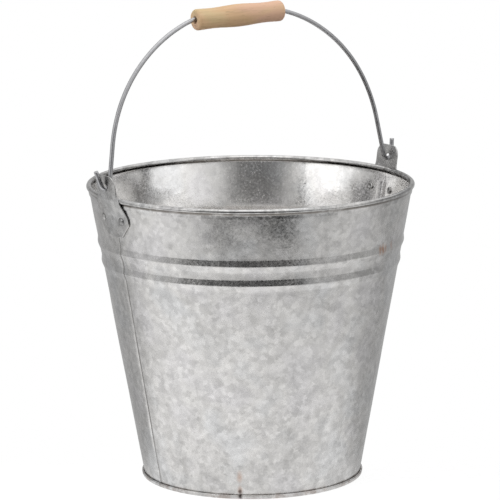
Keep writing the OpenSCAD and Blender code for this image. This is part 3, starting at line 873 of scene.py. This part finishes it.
def add_rivet(name, side, bearing_sign, node, seed):
    """A rivet with a domed head outside and a hand-set, hollow tail inside."""
    head_seat = SHEET_T / 2 + 2 * FIT_GAP + EAR_T
    tail_seat = -(SHEET_T / 2 + 1.5 * FIT_GAP)
    tail_end = tail_seat - RIVET_TAIL_H
    ball = ((RIVET_HEAD_D / 2) ** 2 + RIVET_HEAD_H**2) / 2 / RIVET_HEAD_H
    top = math.degrees(math.asin(RIVET_HEAD_D / 2 / ball))
    dome = [(ball * math.sin(t * DEG), head_seat + RIVET_HEAD_H - ball + ball * math.cos(t * DEG))
            for t in np.linspace(0, top * 0.94, 9)]
    tail_r, shank = RIVET_TAIL_D / 2, RIVET_D / 2
    profile = [(0, dome[0][1])] + dome[1:]
    profile += [(RIVET_HEAD_D / 2, head_seat + 0.14), (RIVET_HEAD_D / 2, head_seat),
                (shank + 0.2, head_seat), (shank, head_seat - 0.2), (shank, tail_seat + 0.2),
                (shank + 0.2, tail_seat), (tail_r - 0.35, tail_seat), (tail_r, tail_seat - 0.35),
                (tail_r - 0.05, tail_end + 0.45), (tail_r - 0.5, tail_end), (1.65, tail_end),
                (1.42, tail_end + 0.2), (1.25, tail_end + 0.72), (0.6, tail_end + 0.9),
                (0, tail_end + 0.9)]
    verts, faces = lathe(profile, 40)
    # hand-set: the tail is a little uneven, and the head a quarter as much
    draw = random.Random(seed)
    a = np.arctan2(verts[:, 1], verts[:, 0])
    swell = 0.035 * np.sin(2 * a + draw.uniform(0, 6)) + 0.02 * np.sin(3 * a + draw.uniform(0, 6))
    swell = np.where(verts[:, 2] < tail_seat + 0.05, swell, swell * 0.25)
    verts[:, :2] *= 1 + swell[:, None]
    bearing = bearing_sign * math.asin(RIVET_PITCH / 2 / straight_r(RIVET_Z))
    seat = Matrix.Translation((straight_r(RIVET_Z), 0, RIVET_Z))
    square_on = Matrix.Rotation((90 + WALL_LEAN) * DEG, 4, "Y")
    turn = Matrix.Rotation(bearing, 4, "Z") @ seat @ square_on
    spun = np.array([turn @ Vector(v) for v in verts])
    # seen from the other side, the same rivet is its mirror image
    if side < 0:
        spun[:, 0] *= -1
        faces = [f[::-1] for f in faces]
    add_mesh(name, spun, faces, [RIVET], "bucket", [node], sharp=55)


add_rivet("right_front_rivet", 1, -1, "rivet_right_front", 3)
add_rivet("right_back_rivet", 1, 1, "rivet_right_back", 5)
add_rivet("left_front_rivet", -1, -1, "rivet_left_front", 8)
add_rivet("left_back_rivet", -1, 1, "rivet_left_back", 13)

# ---- bail
hook_c = (PIVOT_X, HOOK_R)
hook_way = (hook_c[0] - SHOULDER[0], hook_c[1] - SHOULDER[1])
leg_lean = math.degrees(math.atan2(hook_way[1], hook_way[0])
                        + math.acos((SHOULDER_R + HOOK_R) / math.hypot(*hook_way)))
leg_end = (hook_c[0] - HOOK_R * math.cos(leg_lean * DEG),
           hook_c[1] - HOOK_R * math.sin(leg_lean * DEG))


def half_line(slant, tip_lean):
    """The wire from the middle of its top, which rises by slant degrees, to its hook's tip."""
    c, s = math.cos(slant * DEG), math.sin(slant * DEG)
    start = (TOP_BEND_R * s - SHOULDER[0], ARCH_H - TOP_BEND_R * c - SHOULDER[1])
    along = start[0] * c + start[1] * s
    reach = math.sqrt(along**2 - start[0] ** 2 - start[1] ** 2
                      + (SHOULDER_R - TOP_BEND_R) ** 2) - along
    way = (start[0] + reach * c, start[1] + reach * s)
    bend_c = (SHOULDER[0] + way[0], SHOULDER[1] + way[1])
    bend_a = math.degrees(math.atan2(way[1], way[0]))
    tip_way = (math.sin(tip_lean * DEG), math.cos(tip_lean * DEG))
    tip_start = (hook_c[0] + HOOK_R * tip_way[1], hook_c[1] - HOOK_R * tip_way[0])
    return ([(t * c, ARCH_H + t * s) for t in np.linspace(0, reach, 24)[:-1]]
            + arc(bend_c, TOP_BEND_R, 90 + slant, bend_a, 4)[:-1]
            + arc(SHOULDER, SHOULDER_R, bend_a, leg_lean, 1.2)
            + [leg_end]
            + arc(hook_c, HOOK_R, 180 + leg_lean, 360 - tip_lean, 9)[1:]
            + [(tip_start[0] + t * tip_way[0], tip_start[1] + t * tip_way[1])
               for t in np.linspace(0, TIP_L, 8)[1:]])


wire_line = np.array([(-x, v) for x, v in half_line(-TOP_SLANT, LEFT_TIP_LEAN)[::-1]]
                     + half_line(TOP_SLANT, RIGHT_TIP_LEAN)[1:])


def tube(line, radius, sides, sway):
    """A round wire along a line in its own plane, with eased ends; sway moves it off the plane."""
    d = np.gradient(line, axis=0)
    d /= np.linalg.norm(d, axis=1)[:, None]
    normal = np.stack([-d[:, 1], d[:, 0]], 1)
    cut, ease = 0.35, 0.3
    rings = [(line[0], normal[0], radius - cut, sway[0])]
    rings.append((line[0] + d[0] * ease, normal[0], radius, sway[0]))
    rings += [(p, m, radius, s) for p, m, s in zip(line[1:-1], normal[1:-1], sway[1:-1])]
    rings.append((line[-1] - d[-1] * ease, normal[-1], radius, sway[-1]))
    rings.append((line[-1], normal[-1], radius - cut, sway[-1]))
    verts = []
    for p, m, r, s in rings:
        for t in full_turn(sides):
            x, z = p + m * r * math.cos(t)
            verts.append((x, s + r * math.sin(t), z))
    faces = grid_faces(len(rings), sides, False, True)
    first, last = len(verts), len(verts) + 1
    verts += [(line[0][0], sway[0], line[0][1]), (line[-1][0], sway[-1], line[-1][1])]
    end = (len(rings) - 1) * sides
    for i in range(sides):
        j = (i + 1) % sides
        faces += [(first, i, j), (last, end + j, end + i)]
    return np.array(verts), faces


LEAN_TURN = Matrix.Translation((0, 0, PIVOT_Z)) @ Matrix.Rotation(-BAIL_LEAN * DEG, 4, "X")


def leaned(points):
    """Points of the upright bail, in mm from the hinge's height, as the stored bail leans."""
    return np.array([LEAN_TURN @ Vector(p) for p in points])


# the legs are bent by hand: they sway a little between the straight top and the hooks
run = np.concatenate([[0], np.cumsum(np.linalg.norm(np.diff(wire_line, axis=0), axis=1))])
loose = smooth(50, 62, np.abs(wire_line[:, 0])) * smooth(10, 40, wire_line[:, 1])
sway = 0.35 * loose * (np.sin(run / 31) + 0.6 * np.sin(run / 17.3 + 1))
verts, faces = tube(wire_line, WIRE_R, 24, sway)
add_mesh("bail_rod", leaned(verts), faces, [WIRE], "bail", ["bail_wire"],
         sharp=50)


# ---- grip
def grip_r(x):
    """The grip's radius: full in the middle, with a waist to each side of it."""
    waist = GRIP_L * 0.31
    s = abs(x)
    if s < waist:
        swell = (1 + math.cos(math.pi * s / waist)) / 4
        return GRIP_WAIST_D / 2 + (GRIP_MID_D - GRIP_WAIST_D) * swell
    share = min(1, (s - waist) / (GRIP_L / 2 - GRIP_ROUND - waist))
    return GRIP_WAIST_D / 2 + (GRIP_END_D - GRIP_WAIST_D) / 4 * (1 - math.cos(math.pi * share))


grip_end, round_x = GRIP_L / 2, GRIP_L / 2 - GRIP_ROUND
grip_side = [(grip_r(x), x) for x in np.linspace(-round_x, round_x, 90)]
low_round = arc((GRIP_END_D / 2 - GRIP_ROUND, -round_x), GRIP_ROUND, -90, -8, 9)
high_round = arc((GRIP_END_D / 2 - GRIP_ROUND, round_x), GRIP_ROUND, 8, 90, 9)
bore = GRIP_BORE_D / 2
bore_mouth = [(bore + 0.35, grip_end), (bore + 0.1, grip_end - 0.12), (bore, grip_end - 0.45)]
bore_side = [(bore, x) for x in np.linspace(grip_end - 3, -grip_end + 3, 14)]
bore_side = bore_mouth + bore_side + [(r, -x) for r, x in bore_mouth[::-1]]
grip_loop = np.array(low_round + grip_side + high_round + bore_side)
turns = full_turn(96)
draw = random.Random(29)
# Lathe ridges: cycles per mm, phase, height in mm
ridges = [(draw.uniform(0.25, 1.4), draw.uniform(0, 6), draw.uniform(0.006, 0.02))
          for _ in range(7)]
slant_sin, slant_cos = math.sin(TOP_SLANT * DEG), math.cos(TOP_SLANT * DEG)
verts = []
for t in turns:
    for r, x in grip_loop:
        if r > bore + 1:
            r += 0.06 * math.sin(2 * t + x / 25)
            r += sum(a * math.sin(x * f + p) for f, p, a in ridges)
        along, up = x - GRIP_SLIDE, r * math.sin(t) - GRIP_HANG
        verts.append((along * slant_cos - up * slant_sin, r * math.cos(t),
                      along * slant_sin + up * slant_cos + ARCH_H))
faces = grid_faces(len(turns), len(grip_loop), True, True)
add_mesh("turned_grip", leaned(verts), faces, [WOOD], "grip", ["wooden_grip"],
         sharp=40)

# ---- camera
VIEW_A, VIEW_E, ROLL_A = -32.0 * DEG, 10.86 * DEG, 0.367 * DEG
AXIS_Z, DISTANCE, FOCAL_PX = 0.2085, 3.0143, 3284.0
FRAME_PX, SENSOR = 500, 36.0
AIM_RIGHT_PX, AIM_DOWN_PX = 0.85, 0.3
back_way = Vector((math.sin(VIEW_A) * math.cos(VIEW_E), -math.cos(VIEW_A) * math.cos(VIEW_E),
                   math.sin(VIEW_E)))
right_way = Vector((math.cos(VIEW_A), math.sin(VIEW_A), 0))
up_way = back_way.cross(right_way)
cam_right = right_way * math.cos(ROLL_A) - up_way * math.sin(ROLL_A)
cam_up = right_way * math.sin(ROLL_A) + up_way * math.cos(ROLL_A)
px = DISTANCE / FOCAL_PX
place = (Vector((0, 0, AXIS_Z)) + back_way * DISTANCE
         - cam_right * AIM_RIGHT_PX * px + cam_up * AIM_DOWN_PX * px)
camera = bpy.data.objects.new("camera", bpy.data.cameras.new("camera"))
bpy.context.scene.collection.objects.link(camera)
camera.data.sensor_width = SENSOR
camera.data.lens = FOCAL_PX / FRAME_PX * SENSOR
camera.matrix_world = Matrix((
    (cam_right.x, cam_up.x, back_way.x, place.x),
    (cam_right.y, cam_up.y, back_way.y, place.y),
    (cam_right.z, cam_up.z, back_way.z, place.z),
    (0, 0, 0, 1)))
camera.data.clip_start, camera.data.clip_end = 0.05, 60
bpy.context.scene.camera = camera


def ahead_and_aside(n, x, y):
    """A floor point or direction, from the bucket towards the photo's side and to its right."""
    ahead = n.math("ADD", n.math("MULTIPLY", x, math.sin(VIEW_A)),
                   n.math("MULTIPLY", y, -math.cos(VIEW_A)))
    aside = n.math("ADD", n.math("MULTIPLY", x, math.cos(VIEW_A)),
                   n.math("MULTIPLY", y, math.sin(VIEW_A)))
    return ahead, aside


# ---- floor
# a round white floor whose far part fades into the white background
FLOOR_Z, FLOOR_STEPS = -0.0002, 96
floor_radii = np.linspace(0.05, 1.6, 24)
floor_verts = [(0, 0, FLOOR_Z)]
for r in floor_radii:
    floor_verts += [(r * math.cos(t), r * math.sin(t), FLOOR_Z) for t in full_turn(FLOOR_STEPS)]
floor_faces = [(0, 1 + i, 1 + (i + 1) % FLOOR_STEPS) for i in range(FLOOR_STEPS)]
floor_faces += grid_faces(len(floor_radii), FLOOR_STEPS, False, True, 1)
floor_mesh = bpy.data.meshes.new("floor")
floor_mesh.from_pydata(floor_verts, [], floor_faces)
floor = bpy.data.objects.new("floor", floor_mesh)
bpy.context.scene.collection.objects.link(floor)
f = Nodes("floor_white")
floor_x, floor_y, _ = f.split(f.place())
# the floor glows in front of the bucket, up to half a metre, as painted light, and fades to clear
# behind it
ahead, aside = ahead_and_aside(f, floor_x, floor_y)
off_ahead = f.math("SUBTRACT", ahead, 0.16)
off_square = f.math("ADD", f.math("MULTIPLY", off_ahead, off_ahead),
                    f.math("MULTIPLY", aside, aside))
fade = f.math("MAXIMUM", f.span(f.math("SQRT", off_square), 0.335, 0.4),
              f.span(ahead, 0.09, -0.04))
matt = f.add("ShaderNodeBsdfDiffuse")
f.join(f.ramp(f.noise(f.place(), 40), [(0.3, 0.29), (0.7, 0.31)]), matt.inputs["Color"])
# painted light: the floor's glow, brighter to the left as seen from the camera
bright = f.span(aside, -0.3, 0.3, 0.95, 0.69, "LINEAR")
glow = f.glowing("ShaderNodeEmission", (1, 1, 1), bright)
pale = f.two("ShaderNodeAddShader", matt.outputs[0], glow)
clear = f.add("ShaderNodeBsdfTransparent").outputs[0]
faded = f.two("ShaderNodeMixShader", pale, clear, fade)
floor_mesh.materials.append(f.output("ShaderNodeOutputMaterial", faded))

# ---- room and light
# the room is white to look at; what it lights with is dim in front and behind, bright at the sides
world = bpy.data.worlds.new("studio")
bpy.context.scene.world = world
w = Nodes("studio", world)
dx, dy, dz = w.split(w.add("ShaderNodeTexCoord").outputs["Generated"])
ahead, aside = ahead_and_aside(w, dx, dy)
turn_share = w.span(w.math("ARCTAN2", aside, ahead), -math.pi, math.pi, kind="LINEAR")


def brightness(*stops):
    """Brightness by bearing: degrees clockwise from the photo's side, seen from above."""
    return w.ramp(turn_share, [((bearing + 180) / 360, bright) for bearing, bright in stops])


# the low part is seen past the floor's edge
low = brightness((-180, 0.6), (-150, 0.52), (-116, 0.84), (-92, 1.2), (-60, 1.2), (-44, 1.0),
                 (-28, 0.5), (-10, 0.24), (8, 0.14), (26, 0.08), (34, 0.16), (42, 0.75), (66, 0.75),
                 (88, 0.95), (112, 0.75), (150, 0.4), (180, 0.6))
belt = brightness((-180, 0.5), (-120, 0.5), (-85, 0.8), (-64, 0.68), (-52, 0.3), (-44, 0.1),
                  (0, 0.06), (36, 0.08), (44, 0.35), (54, 0.56), (68, 0.62), (84, 0.5), (120, 0.5),
                  (180, 0.5))
high = brightness((-180, 0.5), (-140, 0.3), (-112, 0.32), (-88, 0.8), (-66, 1.5), (-44, 1.4),
                  (-34, 0.62), (-20, 0.25), (-8, 0.13), (6, 0.16), (16, 0.4), (26, 0.78), (42, 1.0),
                  (62, 1.2), (86, 0.8), (102, 0.36), (120, 0.28), (150, 0.4), (180, 0.5))
level = w.blend(w.span(dz, -0.44, -0.3), low, belt)
level = w.blend(w.span(dz, 0.0, 0.09), level, high)
level = w.blend(w.span(dz, 0.28, 0.6), level, (1.1, 1.1, 1.1))
lit = w.glowing("ShaderNodeBackground", level, 1.0)
white = w.glowing("ShaderNodeBackground", (1, 1, 1), 1.0)
to_camera = w.add("ShaderNodeLightPath").outputs["Is Camera Ray"]
w.output("ShaderNodeOutputWorld", w.two("ShaderNodeMixShader", lit, white, to_camera))

# one soft box over the bucket, a little to the photo's side, aimed at the bucket's middle
BOX_UP, BOX_AHEAD, BOX_SIZE, BOX_POWER = 1.9, 0.25, 1.4, 4
soft_box = bpy.data.lights.new("top_box", "AREA")
soft_box.shape = "RECTANGLE"
soft_box.size = soft_box.size_y = BOX_SIZE
soft_box.energy = BOX_POWER
lamp = bpy.data.objects.new("top_box", soft_box)
bpy.context.scene.collection.objects.link(lamp)
lamp.location = (math.sin(VIEW_A) * BOX_AHEAD, -math.cos(VIEW_A) * BOX_AHEAD, BOX_UP)
lamp.rotation_mode = "QUATERNION"
lamp.rotation_quaternion = (Vector((0, 0, 0.2)) - lamp.location).to_track_quat("-Z", "Y")
lamp.visible_camera = False

scene = bpy.context.scene
scene.view_settings.view_transform = "Standard"
scene.view_settings.look = "None"
